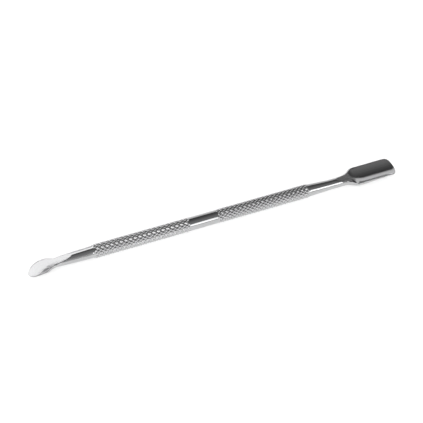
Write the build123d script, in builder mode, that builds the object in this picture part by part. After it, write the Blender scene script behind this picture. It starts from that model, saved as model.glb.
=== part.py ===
from build123d import *
import os
from math import cos, radians, sqrt

# Double-ended cuticle pusher: a knurled steel handle with a tip pressed into each end.
# X runs along the tool with the scooped pusher at +X, Y is across it, Z is up.
# The tool lies with the crests of its knurl on the plane z = 0, and the scoop opens upward.

# ---- driving dimensions, millimetres ----
OVERALL_LENGTH = 138.6
PUSHER_REACH = 34.0          # handle's face to the pusher's cutting edge
CLEANER_REACH = 23.2         # handle's face to the cleaner's tip

# handle
CREST_DIAMETER = 5.0         # over the crests of the knurl
CREST_ROWS = 28              # rows of crests round the handle, which the tool lies on
BAND_DIAMETER = 4.8          # plain band at the middle
BAND_LENGTH = 10.5
END_BEVEL_HEIGHT = 0.25
END_BEVEL_LENGTH = 0.6
SOCKET_DIAMETER = 3.0
SOCKET_DEPTH = 10.0
TANG_LENGTH = 9.8
TANG_CHAMFER = 0.3

# Stations along a tip are distances from the handle's face, and heights are above the tool's axis.
# A round station is listed as (distance, radius, centre's height). A section is listed as
# (distance, half width at the corners, bulge of the sides, low corner, high corner, bottom, top).

# pusher
PUSHER_NECK = ((0.0, 2.25, 0.0), (4.5, 2.03, -0.2), (9.0, 1.86, -0.32))
PUSHER_FLARE = (
    (12.5, 1.35, 0.50, -1.55, 0.95, -2.12, 1.50),
    (14.5, 1.55, 0.46, -1.32, 1.00, -1.98, 1.30),
    (15.8, 2.05, 0.42, -1.12, 1.00, -1.84, 1.20),
    (16.8, 2.72, 0.36, -0.86, 0.95, -1.72, 1.10),
    (17.6, 3.36, 0.30, -0.62, 0.92, -1.60, 1.05),
)
SCOOP_SECTIONS = (
    (18.5, 3.84, 0.10, -0.36, 0.90, -1.50, 1.00),
    (21.5, 3.90, 0.06, -0.28, 0.90, -1.44, 1.00),
    (26.0, 3.90, 0.06, 0.10, 0.90, -1.26, 1.00),
    (34.0, 3.90, 0.06, 0.40, 0.90, -0.85, 1.00),
)
RIM_HEIGHT = 0.7
RIM_LAND = 0.15
SCOOP_DEPTH = 1.1
OUTLINE_HALF_WIDTH = 4.0     # of the bowed outline that rounds the end, just outside the rims
RAMP_START = 10.3            # the hollow's floor leaves the top of the neck here
RAMP_TOP = 1.52
RIM_START = 17.8             # the rims run level from here
FLOOR_LEVEL = 19.4           # and the hollow's floor from here
END_BOW = 1.5                # how far the cutting edge bows out
END_CORNER_RADIUS = 1.3

# cleaner
CLEANER_NECK = ((0.0, 2.19), (6.0, 1.98), (11.0, 1.78))
CLEANER_SHOULDER = (
    (13.2, 1.30, 0.38, -1.12, 1.12, -1.60, 1.50),
    (14.6, 1.62, 0.28, -0.98, 0.95, -1.36, 1.10),
    (15.5, 2.03, 0.30, -0.88, 0.85, -1.16, 0.95),
    (16.3, 2.55, 0.30, -0.82, 0.80, -1.08, 0.90),
)
LEAF_OUTLINE = ((16.3, 2.66), (17.9, 3.08), (19.4, 2.95), (20.8, 2.62), (21.9, 2.05), (22.7, 1.25))
CLEANER_FACE = (
    (7.0, 1.95), (10.0, 1.36), (12.6, 0.76), (14.6, 0.54), (16.2, 0.34), (17.8, 0.02),
    (19.2, -0.42), (20.6, -1.02), (21.4, -1.50), (22.1, -1.98), (22.7, -2.22), (23.2, -2.32),
)
CLEANER_BACK = (
    (16.3, -1.06), (17.9, -0.94), (19.2, -1.12), (20.6, -1.52), (21.6, -2.04), (22.4, -2.34), (23.2, -2.44),
)

# ---- places that follow from them ----
CREST_RADIUS = CREST_DIAMETER / 2
CREST_ROW_ANGLE = 360 / CREST_ROWS
AXIS_Z = CREST_RADIUS * cos(radians(CREST_ROW_ANGLE / 2))
BAND_RADIUS = BAND_DIAMETER / 2
BEVEL_RADIUS = CREST_RADIUS - END_BEVEL_HEIGHT
TANG_RADIUS = SOCKET_DIAMETER / 2
PUSHER_END = OVERALL_LENGTH / 2
CLEANER_END = -OVERALL_LENGTH / 2
RIGHT_FACE = PUSHER_END - PUSHER_REACH
LEFT_FACE = CLEANER_END + CLEANER_REACH
BAND_START = (RIGHT_FACE + LEFT_FACE - BAND_LENGTH) / 2
BAND_END = BAND_START + BAND_LENGTH
HOLLOW_HALF_WIDTH = SCOOP_SECTIONS[-1][1] - RIM_LAND
FLOOR_HEIGHT = RIM_HEIGHT - SCOOP_DEPTH
RAMP_FALL = (RAMP_TOP - FLOOR_HEIGHT) / (FLOOR_LEVEL - RAMP_START)
RAMP_RUN_OUT = 1.0           # the ramp's cut starts this far before it touches the neck
CLEAR = 6.0                  # tools that cut right through reach this far past the part
SIN_45 = sqrt(0.5)

RIGHT = 1
LEFT = -1
TOOL_AXIS = Axis((0, 0, AXIS_Z), (1, 0, 0))


def place(side, distance):
    """X of a station on the tip at one side of the handle."""
    face = RIGHT_FACE if side == RIGHT else LEFT_FACE
    return face + side * distance


def side_points(side, stations):
    """Stations as points of the tool's side view."""
    return [(place(side, distance), AXIS_Z + height) for distance, height in stations]


def tang_half_profile(side):
    """Half profile of a tang, to be turned about the tool's axis."""
    Polyline(
        (place(side, 0), AXIS_Z),
        (place(side, -TANG_LENGTH), AXIS_Z),
        (place(side, -TANG_LENGTH), AXIS_Z + TANG_RADIUS - TANG_CHAMFER),
        (place(side, TANG_CHAMFER - TANG_LENGTH), AXIS_Z + TANG_RADIUS),
        (place(side, 0), AXIS_Z + TANG_RADIUS),
        close=True,
    )


def cross_section(side, distance, half_width, bulge, low, high, bottom, top):
    """Closed profile across a tip: a bottom, two sides and a top, each a shallow arc."""
    low_z = AXIS_Z + low
    high_z = AXIS_Z + high
    middle_z = (low_z + high_z) / 2
    with BuildLine(Plane.YZ.offset(place(side, distance))) as outline:
        ThreePointArc((-half_width, low_z), (0, AXIS_Z + bottom), (half_width, low_z))
        ThreePointArc((half_width, low_z), (half_width + bulge, middle_z), (half_width, high_z))
        ThreePointArc((half_width, high_z), (0, AXIS_Z + top), (-half_width, high_z))
        ThreePointArc((-half_width, high_z), (-half_width - bulge, middle_z), (-half_width, low_z))
    return Face(outline.wire())


def round_section(side, distance, radius, centre=0.0):
    """The same profile where the neck is still round."""
    corner = radius * SIN_45
    heights = [centre + height for height in (-corner, corner, -radius, radius)]
    return cross_section(side, distance, corner, radius - corner, *heights)


def hollow_section(distance, floor):
    """Profile of the hollow above a height of its floor: a shallow arc, open upward."""
    floor_z = AXIS_Z + floor
    rim_z = floor_z + SCOOP_DEPTH
    with BuildLine(Plane.YZ.offset(place(RIGHT, distance))) as outline:
        ThreePointArc((-HOLLOW_HALF_WIDTH, rim_z), (0, floor_z), (HOLLOW_HALF_WIDTH, rim_z))
        Polyline(
            (HOLLOW_HALF_WIDTH, rim_z),
            (HOLLOW_HALF_WIDTH, rim_z + CLEAR),
            (-HOLLOW_HALF_WIDTH, rim_z + CLEAR),
            (-HOLLOW_HALF_WIDTH, rim_z),
        )
    return Face(outline.wire())


with BuildPart() as handle:
    with BuildSketch(Plane.XZ):
        with BuildLine():
            Polyline(
                (LEFT_FACE, AXIS_Z),
                (LEFT_FACE, AXIS_Z + BEVEL_RADIUS),
                (LEFT_FACE + END_BEVEL_LENGTH, AXIS_Z + CREST_RADIUS),
                (BAND_START, AXIS_Z + CREST_RADIUS),
                (BAND_START, AXIS_Z + BAND_RADIUS),
                (BAND_END, AXIS_Z + BAND_RADIUS),
                (BAND_END, AXIS_Z + CREST_RADIUS),
                (RIGHT_FACE - END_BEVEL_LENGTH, AXIS_Z + CREST_RADIUS),
                (RIGHT_FACE, AXIS_Z + BEVEL_RADIUS),
                (RIGHT_FACE, AXIS_Z),
                close=True,
            )
        make_face()
    revolve(axis=TOOL_AXIS)
    # the knurl touches what it lies on only at its rows of crests: flats between the rows stand for it
    with BuildSketch(Plane.YZ.offset(LEFT_FACE)):
        with Locations((0, AXIS_Z)):
            RegularPolygon(radius=CREST_RADIUS, side_count=CREST_ROWS, rotation=CREST_ROW_ANGLE / 2)
    extrude(amount=RIGHT_FACE - LEFT_FACE, mode=Mode.INTERSECT)
    with Locations(Plane(handle.faces().sort_by(Axis.X)[0]), Plane(handle.faces().sort_by(Axis.X)[-1])):
        Hole(radius=TANG_RADIUS, depth=SOCKET_DEPTH)
handle.part.label = "handle"

with BuildPart() as pusher_tip:
    with BuildSketch(Plane.XZ):
        with BuildLine():
            tang_half_profile(RIGHT)
        make_face()
    revolve(axis=TOOL_AXIS)

    # neck, flared shoulders, and scoop thinned to the cutting edge
    neck = [round_section(RIGHT, *station) for station in PUSHER_NECK]
    loft(neck)
    scoop = [cross_section(RIGHT, *station) for station in SCOOP_SECTIONS]
    flare = [cross_section(RIGHT, *station) for station in PUSHER_FLARE]
    loft([neck[-1]] + flare + scoop, ruled=True)

    # tops of the shoulders and rims
    with BuildSketch(Plane.XZ):
        with BuildLine():
            Polyline(
                (place(RIGHT, RAMP_START), AXIS_Z + RAMP_TOP),
                (place(RIGHT, RIM_START), AXIS_Z + RIM_HEIGHT),
                (PUSHER_END + CLEAR, AXIS_Z + RIM_HEIGHT),
                (PUSHER_END + CLEAR, AXIS_Z + CLEAR),
                (place(RIGHT, RAMP_START), AXIS_Z + CLEAR),
                close=True,
            )
        make_face()
    extrude(amount=CLEAR, both=True, mode=Mode.SUBTRACT)

    # hollow, with a ramp down to it
    hollow = [
        hollow_section(RAMP_START - RAMP_RUN_OUT, RAMP_TOP + RAMP_FALL * RAMP_RUN_OUT),
        hollow_section(FLOOR_LEVEL, FLOOR_HEIGHT),
        hollow_section(PUSHER_REACH + CLEAR, FLOOR_HEIGHT),
    ]
    loft(hollow, ruled=True, mode=Mode.SUBTRACT)

    # bowed end with rounded corners
    with BuildSketch(Plane.XY.offset(AXIS_Z)) as outline:
        with BuildLine():
            Polyline(
                (PUSHER_END - END_BOW, OUTLINE_HALF_WIDTH),
                (place(RIGHT, -TANG_LENGTH), OUTLINE_HALF_WIDTH),
                (place(RIGHT, -TANG_LENGTH), -OUTLINE_HALF_WIDTH),
                (PUSHER_END - END_BOW, -OUTLINE_HALF_WIDTH),
            )
            ThreePointArc(
                (PUSHER_END - END_BOW, -OUTLINE_HALF_WIDTH),
                (PUSHER_END, 0),
                (PUSHER_END - END_BOW, OUTLINE_HALF_WIDTH),
            )
        make_face()
        fillet(outline.vertices().group_by(Axis.X)[-1], END_CORNER_RADIUS)
    extrude(amount=CLEAR, both=True, mode=Mode.INTERSECT)
pusher_tip.part.label = "pusher_tip"

with BuildPart() as cleaner_tip:
    with BuildSketch(Plane.XZ):
        with BuildLine():
            tang_half_profile(LEFT)
        make_face()
    revolve(axis=TOOL_AXIS)

    # neck and shoulder
    neck = [round_section(LEFT, *station) for station in CLEANER_NECK]
    loft(neck)
    loft([neck[-1]] + [cross_section(LEFT, *station) for station in CLEANER_SHOULDER], ruled=True)

    # leaf-shaped blade: its outline, kept between its face and its back
    half_outline = [(place(LEFT, distance), half_width) for distance, half_width in LEAF_OUTLINE]
    with BuildSketch(Plane.XY.offset(AXIS_Z)):
        with BuildLine():
            mirrored = [(x, -y) for x, y in reversed(half_outline)]
            Spline(*half_outline, (CLEANER_END, 0), *mirrored)
            Line(mirrored[-1], half_outline[0])
        make_face()
    extrude(amount=CREST_RADIUS, both=True)
    face_curve = side_points(LEFT, CLEANER_FACE)
    back_curve = side_points(LEFT, reversed(CLEANER_BACK))
    with BuildSketch(Plane.XZ):
        with BuildLine():
            Spline(*face_curve)
            Line(face_curve[-1], back_curve[0])
            Spline(*back_curve)
            Polyline(
                back_curve[-1],
                (back_curve[-1][0], -CLEAR),
                (LEFT_FACE + TANG_LENGTH, -CLEAR),
                (LEFT_FACE + TANG_LENGTH, AXIS_Z + CLEAR),
                (face_curve[0][0], AXIS_Z + CLEAR),
                face_curve[0],
            )
        make_face()
    extrude(amount=CLEAR, both=True, mode=Mode.INTERSECT)
cleaner_tip.part.label = "cleaner_tip"

os.makedirs("parts", exist_ok=True)
for piece in (handle, pusher_tip, cleaner_tip):
    export_step(piece.part, f"parts/{piece.part.label}.step")
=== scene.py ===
import math

import bpy
import numpy as np
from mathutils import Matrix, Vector


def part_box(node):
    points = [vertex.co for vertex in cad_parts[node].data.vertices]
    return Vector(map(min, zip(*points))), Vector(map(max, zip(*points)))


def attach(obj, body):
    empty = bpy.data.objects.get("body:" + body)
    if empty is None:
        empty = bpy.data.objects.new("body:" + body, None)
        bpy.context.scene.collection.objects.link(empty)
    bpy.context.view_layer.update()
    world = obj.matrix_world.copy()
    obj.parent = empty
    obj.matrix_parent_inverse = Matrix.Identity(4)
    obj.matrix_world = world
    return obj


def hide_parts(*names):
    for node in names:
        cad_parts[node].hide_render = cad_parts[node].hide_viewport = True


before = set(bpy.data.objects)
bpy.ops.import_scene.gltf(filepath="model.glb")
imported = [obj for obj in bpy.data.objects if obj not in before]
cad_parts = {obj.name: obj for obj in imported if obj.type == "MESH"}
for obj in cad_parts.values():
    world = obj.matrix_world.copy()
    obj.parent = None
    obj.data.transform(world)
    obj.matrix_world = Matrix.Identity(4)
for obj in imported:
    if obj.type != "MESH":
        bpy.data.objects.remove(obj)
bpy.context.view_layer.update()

# Lengths are in millimetres and become metres as each Blender object is made. Distances along a
# tip start at the handle's face, and heights are above the tool's axis, as in the CAD part.
MM = 0.001

# handle
CREST_RADIUS = 2.5
CREST_ROWS = 28
KNURL_STARTS = CREST_ROWS // 2
KNURL_LEAD = 1.70            # spacing of one family of grooves along the handle
KNURL_DEPTH = 0.26
KNURL_STEPS = 12             # mesh steps across one groove spacing, each way
KNURL_FADE = 0.35            # length over which the grooves run out at each end of a zone
KNURL_END_DEPTH = 0.5        # share of the knurl's depth that is cut away where a zone ends
BAND_RADIUS = 2.4
BAND_LENGTH = 10.5
BEVEL_RADIUS = 2.25
BEVEL_LENGTH = 0.6
TANG_RADIUS = 1.5
TANG_LENGTH = 9.8
TANG_CHAMFER = 0.3
SOCKET_DEPTH = 10.0

# A round station is (distance, radius, centre's height). A section is (distance, half width at
# the corners, bulge of the sides, low corner, high corner, bottom, top).
PUSHER_NECK = (
    (0.0, 2.25, 0.0), (2.2, 2.14, -0.10), (4.5, 2.03, -0.20), (6.8, 1.94, -0.28), (9.0, 1.86, -0.32),
)
PUSHER_BODY = (
    (12.5, 1.35, 0.50, -1.55, 0.95, -2.12, 1.50),
    (14.5, 1.55, 0.46, -1.32, 1.00, -1.98, 1.30),
    (15.8, 2.05, 0.42, -1.12, 1.00, -1.84, 1.20),
    (16.8, 2.72, 0.36, -0.86, 0.95, -1.72, 1.10),
    (17.6, 3.36, 0.30, -0.62, 0.92, -1.60, 1.05),
    (18.2, 3.76, 0.16, -0.42, 0.90, -1.52, 1.00),
    (18.6, 3.86, 0.09, -0.36, 0.90, -1.50, 1.00),
    (21.5, 3.90, 0.06, -0.28, 0.90, -1.44, 1.00),
    (26.0, 3.90, 0.06, 0.10, 0.90, -1.30, 1.00),
    (30.5, 3.90, 0.06, 0.30, 0.90, -1.14, 1.00),
    (34.0, 3.90, 0.06, 0.38, 0.90, -1.02, 1.00),
)
RAMP_START = 10.3
RAMP_TOP = 1.52
RAMP_RUN_OUT = 1.0           # the ramp's cut starts this far before it touches the neck
RAMP_EASE = 0.2              # how softly the ramp turns into the level floor
RIM_START = 17.8
RIM_HEIGHT = 0.7
FLOOR_LEVEL = 19.4
SCOOP_DEPTH = 1.1
HOLLOW_HALF_WIDTH = 3.71
HOLLOW_BEGIN = (16.5, 18.7)  # the ramp is flat across, and dishes into the hollow between these
OUTLINE_HALF_WIDTH = 4.0
END_BOW = 1.5
END_CORNER_RADIUS = 1.3
END_BEND_START = 30.0        # from here the stations bend into the bowed end
EDGE_BEVEL_LENGTH = 1.2
EDGE_BEVEL_DEPTH = 0.14

CLEANER_NECK = (
    (0.0, 2.19, 0.0), (3.0, 2.08, 0.0), (6.0, 1.98, 0.0), (8.5, 1.88, 0.0), (11.0, 1.78, 0.0),
)
CLEANER_BODY = (
    (13.2, 1.30, 0.38, -1.12, 1.12, -1.60, 1.50),
    (14.6, 1.62, 0.28, -0.98, 0.95, -1.36, 1.10),
    (15.5, 1.96, 0.34, -0.92, 0.70, -1.18, 0.85),
    (16.3, 2.42, 0.38, -0.92, 0.40, -1.12, 0.60),
    (17.0, 2.62, 0.32, -0.80, 0.24, -1.00, 0.45),
    (17.9, 2.76, 0.25, -0.72, 0.06, -0.94, 0.30),
    (19.4, 2.66, 0.22, -0.94, -0.44, -1.16, -0.20),
    (20.8, 2.40, 0.16, -1.42, -1.04, -1.62, -0.80),
    (21.9, 1.90, 0.11, -1.94, -1.62, -2.12, -1.40),
    (22.5, 1.42, 0.08, -2.22, -1.95, -2.34, -1.80),
    (22.85, 0.98, 0.05, -2.34, -2.12, -2.41, -2.00),
    (23.1, 0.44, 0.03, -2.40, -2.24, -2.44, -2.12),
    (23.2, 0.04, 0.005, -2.42, -2.30, -2.44, -2.20),
)
FACE_CROWN = 0.017           # fall of the face either side of its middle, per square millimetre
CLEANER_FACE = (
    (7.0, 1.95), (10.0, 1.36), (12.6, 0.76), (14.6, 0.54), (16.2, 0.34), (17.8, 0.02),
    (19.2, -0.42), (20.6, -0.98), (21.6, -1.50), (22.4, -1.93), (22.9, -2.18), (23.2, -2.30),
)

# places
SIN_45 = math.sqrt(0.5)
AXIS_Z = CREST_RADIUS * math.cos(math.pi / CREST_ROWS)
HANDLE_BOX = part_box("handle")
LEFT_FACE = HANDLE_BOX[0][0] / MM
RIGHT_FACE = HANDLE_BOX[1][0] / MM
PUSHER_REACH = PUSHER_BODY[-1][0]
CLEANER_REACH = CLEANER_BODY[-1][0]

# mesh resolution
BOTTOM_STEPS = 22
SIDE_STEPS = 12
CORNER_STEPS = 4
TOP_STEPS = 40
BAND_RINGS = 14
SHARP_ANGLE = 35             # degrees: edges that turn more than this are shaded sharp

# rounding
CORNER_ROUND = 0.09
LEAF_ROUND = 0.26
EDGE_ROUND = 0.035
ROUND_SHARE = 0.4            # a corner's rounding is at most this share of its side or its width
FLATTEST_RISE = 0.001        # the least rise of a shallow arc
UNTRIMMED = 9.0              # a height above the whole tool: no flat trims the section


# ---------------------------------------------------------------- curves
def smooth(stations, at):
    """Values between stations, on a curve that never overshoots them."""
    table = np.array(stations, float)
    x, y = table[:, 0], table[:, 1:]
    gap = np.diff(x)[:, None]
    slope = np.diff(y, axis=0) / gap
    tangent = np.zeros_like(y)
    product = slope[:-1] * slope[1:]
    weight_a = 2 * gap[1:] + gap[:-1]
    weight_b = gap[1:] + 2 * gap[:-1]
    same = product > 0
    safe_a = np.where(same, slope[:-1], 1)
    safe_b = np.where(same, slope[1:], 1)
    tangent[1:-1] = np.where(same, (weight_a + weight_b) / (weight_a / safe_a + weight_b / safe_b), 0)
    tangent[0], tangent[-1] = slope[0], slope[-1]
    at = np.clip(np.atleast_1d(np.asarray(at, float)), x[0], x[-1])
    k = np.clip(np.searchsorted(x, at, side="right") - 1, 0, len(x) - 2)
    width = gap[k]
    t = ((at - x[k]) / width[:, 0])[:, None]
    value = (
        (1 + 2 * t) * (1 - t) ** 2 * y[k]
        + t * (1 - t) ** 2 * width * tangent[k]
        + t**2 * (3 - 2 * t) * y[k + 1]
        + t**2 * (t - 1) * width * tangent[k + 1]
    )
    return value


def soft_min(a, b, width=EDGE_ROUND):
    """The lower of two heights, with the edge between them rounded."""
    mix = np.clip(0.5 + (b - a) / (4 * width), 0, 1)
    return b * (1 - mix) + a * mix - 2 * width * mix * (1 - mix)


def round_rows(neck):
    """A round neck's stations, written as sections."""
    rows = []
    for distance, radius, centre in neck:
        corner = radius * SIN_45
        heights = (centre - corner, centre + corner, centre - radius, centre + radius)
        rows.append((distance, corner, radius - corner, *heights))
    return rows


def arc_height(half_width, rise, y):
    """Height above its chord's ends of a shallow arc that rises in the middle."""
    radius = (half_width**2 + rise**2) / (2 * rise)
    return np.sqrt(np.maximum(radius**2 - y**2, 0)) - (radius - rise)


def half_section(row, plane, cut, corner_round=CORNER_ROUND):
    """Half of a closed section, from the middle of the bottom round one side to the middle of the top.

    plane is the height of the flat that trims the top. cut(y) is the height of the surface that is
    ground into it."""
    half_width, bulge, low, high, bottom, top = row
    half = (high - low) / 2
    middle = (high + low) / 2
    side_radius = (half**2 + bulge**2) / (2 * bulge)
    side_centre = half_width + bulge - side_radius

    def side_y(z):
        return side_centre + np.sqrt(np.maximum(side_radius**2 - (z - middle) ** 2, 0))

    full_width = float(side_y(high))
    full_rise = max(top - high, FLATTEST_RISE)
    full_high = high
    high = min(high, plane)
    corner_width = float(side_y(high))
    fillet = min(corner_round, ROUND_SHARE * (high - low), ROUND_SHARE * corner_width)

    def top_z(y):
        return cut(y, full_high + arc_height(full_width, full_rise, y))

    sag = low - bottom
    radius = (half_width**2 + sag**2) / (2 * sag)
    reach = math.asin(min(1.0, half_width / radius))
    angle = np.linspace(0, reach, BOTTOM_STEPS, endpoint=False)
    points = [np.stack([radius * np.sin(angle), bottom + radius - radius * np.cos(angle)], 1)]
    z = np.linspace(low, high - fillet, SIDE_STEPS)
    points.append(np.stack([side_y(z), z], 1))
    start = points[-1][-1]
    inner = corner_width - fillet
    end = np.array([inner, top_z(np.array([inner]))[0]])
    control = np.array([corner_width, min(high, end[1] + fillet)])
    t = np.linspace(0, 1, CORNER_STEPS + 1)[1:-1, None]
    points.append((1 - t) ** 2 * start + 2 * t * (1 - t) * control + t**2 * end)
    y = inner * (1 - np.linspace(0, 1, TOP_STEPS))
    points.append(np.stack([y, top_z(y)], 1))
    return np.concatenate(points)


def whole_section(half):
    """A closed section from its half: the two middle points aren't repeated."""
    other = half[1:-1][::-1] * (-1, 1)
    return np.concatenate([half, other])


# ---------------------------------------------------------------- meshes
def make_object(name, points, faces):
    """A mesh object from points in millimetres in the tool's frame."""
    mesh = bpy.data.meshes.new(name)
    mesh.from_pydata((np.asarray(points) * MM).tolist(), [], faces)
    mesh.validate()
    mesh.shade_smooth()
    mesh.set_sharp_from_angle(angle=math.radians(SHARP_ANGLE))
    piece = bpy.data.objects.new(name, mesh)
    bpy.context.scene.collection.objects.link(piece)
    return piece


def skin(name, rings, outward):
    """Joins rings of equal size into a closed skin with a face across each end.

    Each ring runs anticlockwise seen from +X. outward is 1 when the rings follow each other
    towards +X, and -1 when they do towards -X: it turns the faces to look out of the piece."""
    count = len(rings[0])
    faces = []
    for ring in range(len(rings) - 1):
        base, ahead = ring * count, (ring + 1) * count
        for k in range(count):
            nxt = (k + 1) % count
            faces.append((base + nxt, ahead + nxt, ahead + k, base + k)[::outward])
    last = (len(rings) - 1) * count
    faces.append(tuple(range(count))[::-outward])
    faces.append(tuple(range(last, last + count))[::outward])
    return make_object(name, np.concatenate(rings), faces)


def tang_rings(face, outward, template):
    """Rings of a tang, each with as many points as the neck's first section."""
    direction = template / np.linalg.norm(template, axis=1)[:, None]
    profile = (
        (-TANG_LENGTH, TANG_RADIUS - TANG_CHAMFER),
        (TANG_CHAMFER - TANG_LENGTH, TANG_RADIUS),
        (0.0, TANG_RADIUS),
    )
    return [place_ring(face, outward, distance, direction * radius) for distance, radius in profile]


def place_ring(face, outward, distance, section):
    """A section set in the tool's frame. distance may be one number or one for each point."""
    x = face + outward * (distance + np.zeros(len(section)))
    return np.stack([x, section[:, 0], section[:, 1] + AXIS_Z], 1)


def spaced(*stretches):
    """Stations along a tip: each stretch is (end, step), the first one starting at 0."""
    stations, start = [np.zeros(1)], 0.0
    for end, step in stretches:
        count = max(1, round((end - start) / step))
        stations.append(np.linspace(start, end, count + 1)[1:])
        start = end
    return np.concatenate(stations)


# ---------------------------------------------------------------- pusher
def rim_plane(distance):
    """Height of the tops of the shoulders and of the rims that they run into."""
    slope = (RIM_HEIGHT - RAMP_TOP) * (distance - RAMP_START) / (RIM_START - RAMP_START)
    return max(RAMP_TOP + slope, RIM_HEIGHT)


def hollow_floor(distance):
    """Height of the hollow's floor: a ramp that eases into a level floor."""
    level = RIM_HEIGHT - SCOOP_DEPTH
    ramp = RAMP_TOP + (level - RAMP_TOP) * (distance - RAMP_START) / (FLOOR_LEVEL - RAMP_START)
    return -float(soft_min(np.array(-ramp), -level, RAMP_EASE))


def pusher_end(y):
    """How far the bowed end reaches at a place across the scoop."""
    y = np.minimum(np.abs(y), OUTLINE_HALF_WIDTH)
    into_corner = np.maximum(y - (OUTLINE_HALF_WIDTH - END_CORNER_RADIUS), 0)
    corner = END_CORNER_RADIUS - np.sqrt(END_CORNER_RADIUS**2 - into_corner**2)
    return PUSHER_REACH - END_BOW * (y / OUTLINE_HALF_WIDTH) ** 2 - corner


def make_pusher():
    stations = spaced(
        (8.0, 0.4), (12.8, 0.1), (17.6, 0.12), (19.0, 0.06), (22.0, 0.12),
        (END_BEND_START, 0.4), (PUSHER_REACH - EDGE_BEVEL_LENGTH, 0.12), (PUSHER_REACH, 0.06),
    )
    rows = smooth(round_rows(PUSHER_NECK) + list(PUSHER_BODY), stations)
    rings = []
    for distance, row in zip(stations, rows):
        plane = rim_plane(distance)
        floor = hollow_floor(distance)
        begun = np.clip((distance - HOLLOW_BEGIN[0]) / (HOLLOW_BEGIN[1] - HOLLOW_BEGIN[0]), 0, 1)
        dish = begun**2 * (3 - 2 * begun)
        into_bevel = max(0.0, 1 - (PUSHER_REACH - distance) / EDGE_BEVEL_LENGTH)
        bevel = EDGE_BEVEL_DEPTH * into_bevel**2

        def cut(y, z):
            z = soft_min(z, plane + 0 * y)
            if distance > RAMP_START - RAMP_RUN_OUT:
                z = soft_min(z, floor + dish * SCOOP_DEPTH * (y / HOLLOW_HALF_WIDTH) ** 2)
            return z - bevel

        section = whole_section(half_section(row, plane, cut))
        bend = max(0.0, (distance - END_BEND_START) / (PUSHER_REACH - END_BEND_START))
        reach = distance + bend * (pusher_end(section[:, 0]) - PUSHER_REACH)
        rings.append(place_ring(RIGHT_FACE, 1, reach, section))
    first = whole_section(half_section(rows[0], UNTRIMMED, lambda y, z: z))
    return skin("pusher_tip_steel", tang_rings(RIGHT_FACE, 1, first) + rings, 1)


# ---------------------------------------------------------------- cleaner
def make_cleaner():
    stations = spaced(
        (7.0, 0.4), (13.0, 0.12), (21.0, 0.1), (22.5, 0.05), (23.0, 0.025), (CLEANER_REACH, 0.01),
    )
    rows = smooth(round_rows(CLEANER_NECK) + list(CLEANER_BODY), stations)
    faces = smooth(CLEANER_FACE, stations)[:, 0]
    rings = []
    for distance, row, face_height in zip(stations, rows, faces):
        plane = face_height if distance > CLEANER_FACE[0][0] else UNTRIMMED

        def cut(y, z):
            return soft_min(z, plane - FACE_CROWN * y**2)

        section = whole_section(half_section(row, plane, cut, LEAF_ROUND))
        rings.append(place_ring(LEFT_FACE, -1, distance, section))
    first = whole_section(half_section(rows[0], UNTRIMMED, lambda y, z: z))
    return skin("cleaner_tip_steel", tang_rings(LEFT_FACE, -1, first) + rings, -1)


# ---------------------------------------------------------------- handle
def knurl_radius(x, angle, ends):
    """Radius of the knurled surface: two families of V grooves that leave diamond pyramids."""
    turns = KNURL_STARTS * angle / (2 * math.pi)
    height = 1.0
    for family in (turns + x / KNURL_LEAD, turns - x / KNURL_LEAD):
        height = np.minimum(height, 1 - 2 * np.abs(family - np.floor(family) - 0.5))
    edge = np.minimum(x - ends[0], ends[1] - x)
    fade = np.clip(edge / KNURL_FADE, 0, 1)
    return CREST_RADIUS - KNURL_DEPTH * ((1 - height) * fade + KNURL_END_DEPTH * (1 - fade))


def make_handle():
    columns = KNURL_STARTS * KNURL_STEPS
    angle = np.arange(columns) / columns * 2 * math.pi
    lean = math.radians(-90 + 180 / CREST_ROWS)
    across, up = np.cos(angle + lean), np.sin(angle + lean)

    def ring(x, radius):
        return np.stack([x + 0 * angle, radius * across, AXIS_Z + radius * up], 1)

    middle = (LEFT_FACE + RIGHT_FACE) / 2
    band = (middle - BAND_LENGTH / 2, middle + BAND_LENGTH / 2)
    zones = ((LEFT_FACE + BEVEL_LENGTH, band[0]), (band[1], RIGHT_FACE - BEVEL_LENGTH))
    rings = [
        ring(LEFT_FACE + SOCKET_DEPTH, TANG_RADIUS),
        ring(LEFT_FACE, TANG_RADIUS),
        ring(LEFT_FACE, BEVEL_RADIUS),
    ]
    for zone in zones:
        if zone[0] == band[1]:
            for x in np.linspace(band[0], band[1], BAND_RINGS):
                rings.append(ring(x, BAND_RADIUS))
        count = round((zone[1] - zone[0]) / (KNURL_LEAD / KNURL_STEPS))
        for x in zone[0] + np.arange(count + 1) * (zone[1] - zone[0]) / count:
            rings.append(ring(x, knurl_radius(x, angle, zone)))
    rings += [
        ring(RIGHT_FACE, BEVEL_RADIUS),
        ring(RIGHT_FACE, TANG_RADIUS),
        ring(RIGHT_FACE - SOCKET_DEPTH, TANG_RADIUS),
    ]
    return skin("handle_steel", rings, 1)


# ---------------------------------------------------------------- materials
STEEL_COLOR = (0.48, 0.48, 0.486)
STEEL_ROUGHNESS = 0.10
ROUGHNESS_SPREAD = (0.8, 1.3)    # share of the roughness, from the least to the most
TINT_SPREAD = (0.95, 1.05)       # share of the colour, from the darkest to the lightest
GRAIN_SCALE = (60, 3000, 3000)   # per metre: the grain is drawn out along the tool
GRAIN_DETAIL = 4.0
MARK_DEPTH = 0.00002             # metres


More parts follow.
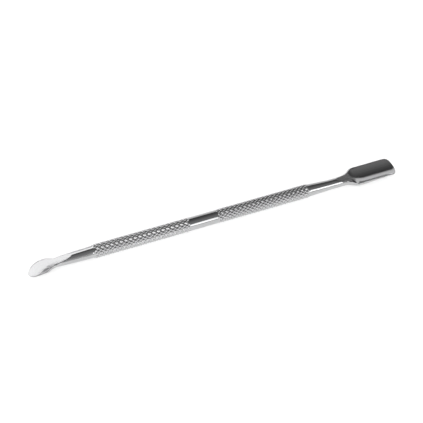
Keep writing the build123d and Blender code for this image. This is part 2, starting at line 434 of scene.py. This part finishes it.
def steel(name):
    """Polished steel with fine marks along the tool in its colour, roughness and relief."""
    material = bpy.data.materials.new(name)
    material.use_nodes = True
    nodes, links = material.node_tree.nodes, material.node_tree.links
    shader = nodes["Principled BSDF"]
    shader.inputs["Metallic"].default_value = 1.0
    place = nodes.new("ShaderNodeTexCoord")
    stretch = nodes.new("ShaderNodeMapping")
    stretch.inputs["Scale"].default_value = GRAIN_SCALE
    links.new(place.outputs["Object"], stretch.inputs["Vector"])
    grain = nodes.new("ShaderNodeTexNoise")
    grain.inputs["Scale"].default_value = 1.0
    grain.inputs["Detail"].default_value = GRAIN_DETAIL
    links.new(stretch.outputs["Vector"], grain.inputs["Vector"])
    rough = nodes.new("ShaderNodeMapRange")
    rough.inputs["To Min"].default_value = STEEL_ROUGHNESS * ROUGHNESS_SPREAD[0]
    rough.inputs["To Max"].default_value = STEEL_ROUGHNESS * ROUGHNESS_SPREAD[1]
    links.new(grain.outputs["Fac"], rough.inputs["Value"])
    links.new(rough.outputs["Result"], shader.inputs["Roughness"])
    tint = nodes.new("ShaderNodeMapRange")
    tint.data_type = "FLOAT_VECTOR"
    # the node's colour sockets: 6 is the value, 9 and 10 are the ends of the range
    tint.inputs[9].default_value = tuple(c * TINT_SPREAD[0] for c in STEEL_COLOR)
    tint.inputs[10].default_value = tuple(c * TINT_SPREAD[1] for c in STEEL_COLOR)
    links.new(grain.outputs["Fac"], tint.inputs[6])
    links.new(tint.outputs[1], shader.inputs["Base Color"])
    marks = nodes.new("ShaderNodeBump")
    marks.inputs["Distance"].default_value = MARK_DEPTH
    links.new(grain.outputs["Fac"], marks.inputs["Height"])
    links.new(marks.outputs["Normal"], shader.inputs["Normal"])
    return material


# ---------------------------------------------------------------- stage
CAMERA_AZIMUTH = 19.67
CAMERA_ELEVATION = 52.64
CAMERA_DISTANCE = 400.0
CAMERA_LENS = 95.3
SENSOR_WIDTH = 36.0
CLIP_START = 0.01            # metres
AIM = Vector((-1.15, 2.71, AXIS_Z))

# The world's light by direction. Each fade is (from, to, light at from, light at to).
CEILING_FADE = (0.85, -0.75, 0.06, 0.29)       # along Y
WALL_FADE = (0.62, 0.42, 0.0, 0.85)            # along Z: the wall's top
WALL_BEHIND_FADE = (-0.2, 0.3, 0.35, 1.0)      # along Y: share of the wall's light
WALL_RIGHT_FADE = (-0.4, -0.15, 0.15, 1.0)     # along X: share of the wall's light

# name, centre, target, width, height, radiance
SOFTBOXES = (
    ("front_left_strip", (-110, -221, 105), (-110, 0, 0), 55, 140, 2.2),
    ("front_strip", (14, -221, 117), (14, 0, 0), 88, 120, 1.75),
    ("front_right_strip", (158, -221, 117), (158, 0, 0), 84, 120, 2.1),
    ("left_softbox", (-190, 213, 206), (-190, 0, 2), 370, 167, 1.65),
)
# a sun's angle is in degrees, and its strength in watts per square metre
FLOOR_LIGHT_ANGLE = 6
FLOOR_LIGHT_STRENGTH = 2.9
OVERHEAD_ANGLE = 130
OVERHEAD_STRENGTH = 1.7
FLOOR_HALF_SIZE = 2.0        # metres
FLOOR_COLOR = (0.9, 0.9, 0.9, 1)


def camera_direction():
    """The way the camera looks."""
    azimuth, elevation = math.radians(CAMERA_AZIMUTH), math.radians(CAMERA_ELEVATION)
    return Vector((
        math.sin(azimuth) * math.cos(elevation),
        math.cos(azimuth) * math.cos(elevation),
        -math.sin(elevation),
    ))


def make_camera():
    toward = camera_direction()
    data = bpy.data.cameras.new("camera")
    data.sensor_width = SENSOR_WIDTH
    data.lens = CAMERA_LENS
    data.clip_start = CLIP_START
    camera = bpy.data.objects.new("camera", data)
    camera.location = (AIM - toward * CAMERA_DISTANCE) * MM
    camera.rotation_euler = toward.to_track_quat("-Z", "Y").to_euler()
    bpy.context.scene.collection.objects.link(camera)
    bpy.context.scene.camera = camera


def math_node(nodes, links, operation, first, second):
    """Two values added or multiplied."""
    node = nodes.new("ShaderNodeMath")
    node.operation = operation
    links.new(first, node.inputs[0])
    links.new(second, node.inputs[1])
    return node.outputs[0]


def fade_node(nodes, links, value, fade):
    """A value that goes smoothly from one light to another as the input goes along the fade."""
    start, end, low, high = fade
    node = nodes.new("ShaderNodeMapRange")
    node.interpolation_type = "SMOOTHSTEP"
    for name, number in (("From Min", start), ("From Max", end), ("To Min", low), ("To Max", high)):
        node.inputs[name].default_value = number
    links.new(value, node.inputs["Value"])
    return node.outputs["Result"]


def make_world():
    """A dim ceiling and a glowing wall for the steel to reflect. It doesn't light the floor."""
    world = bpy.data.worlds.new("studio")
    bpy.context.scene.world = world
    world.use_nodes = True
    nodes, links = world.node_tree.nodes, world.node_tree.links
    place = nodes.new("ShaderNodeTexCoord")
    split = nodes.new("ShaderNodeSeparateXYZ")
    links.new(place.outputs["Generated"], split.inputs["Vector"])
    across, height = split.outputs["Y"], split.outputs["Z"]
    ceiling = fade_node(nodes, links, across, CEILING_FADE)
    wall = fade_node(nodes, links, height, WALL_FADE)
    behind = fade_node(nodes, links, across, WALL_BEHIND_FADE)
    glow = math_node(nodes, links, "MULTIPLY", wall, behind)
    right = fade_node(nodes, links, split.outputs["X"], WALL_RIGHT_FADE)
    glow = math_node(nodes, links, "MULTIPLY", glow, right)
    total = math_node(nodes, links, "ADD", ceiling, glow)
    nodes["Background"].inputs["Color"].default_value = (1, 1, 1, 1)
    links.new(total, nodes["Background"].inputs["Strength"])
    world.cycles_visibility.diffuse = False


def make_softbox(name, centre, target, width, height, radiance):
    """A rectangular area light that only the steel sees."""
    data = bpy.data.lights.new(name, "AREA")
    data.shape = "RECTANGLE"
    data.size, data.size_y = width * MM, height * MM
    data.energy = radiance * math.pi * data.size * data.size_y
    light = bpy.data.objects.new(name, data)
    centre, target = Vector(centre), Vector(target)
    light.location = centre * MM
    light.rotation_euler = (target - centre).to_track_quat("-Z", "Y").to_euler()
    light.visible_camera = False
    light.visible_diffuse = False
    bpy.context.scene.collection.objects.link(light)


def make_sun(name, toward, angle, strength):
    """A light for the floor alone: the steel doesn't reflect it."""
    data = bpy.data.lights.new(name, "SUN")
    data.energy = strength
    data.angle = math.radians(angle)
    light = bpy.data.objects.new(name, data)
    light.rotation_euler = toward.to_track_quat("-Z", "Y").to_euler()
    light.visible_glossy = False
    bpy.context.scene.collection.objects.link(light)


def make_lights():
    for softbox in SOFTBOXES:
        make_softbox(*softbox)
    make_sun("floor_light", camera_direction(), FLOOR_LIGHT_ANGLE, FLOOR_LIGHT_STRENGTH)
    make_sun("overhead_fill", Vector((0, 0, -1)), OVERHEAD_ANGLE, OVERHEAD_STRENGTH)


def make_floor():
    size = FLOOR_HALF_SIZE
    corners = [(-size, -size, 0), (size, -size, 0), (size, size, 0), (-size, size, 0)]
    mesh = bpy.data.meshes.new("floor")
    mesh.from_pydata(corners, [], [(0, 1, 2, 3)])
    floor = bpy.data.objects.new("floor", mesh)
    bpy.context.scene.collection.objects.link(floor)
    material = bpy.data.materials.new("floor_white")
    material.use_nodes = True
    shader = material.node_tree.nodes["Principled BSDF"]
    shader.inputs["Base Color"].default_value = FLOOR_COLOR
    shader.inputs["Specular IOR Level"].default_value = 0.0
    shader.inputs["Roughness"].default_value = 1.0
    mesh.materials.append(material)


tip_steel = steel("tip_steel")
handle_steel = steel("handle_steel")
for build, node, slot, material in (
    (make_handle, "handle", "handle_steel", handle_steel),
    (make_pusher, "pusher_tip", "tip_steel", tip_steel),
    (make_cleaner, "cleaner_tip", "tip_steel", tip_steel),
):
    piece = build()
    piece.data.materials.append(material)
    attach(piece, "root")
    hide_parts(node)

make_camera()
make_world()
make_lights()
make_floor()
bpy.context.scene.view_settings.view_transform = "Standard"
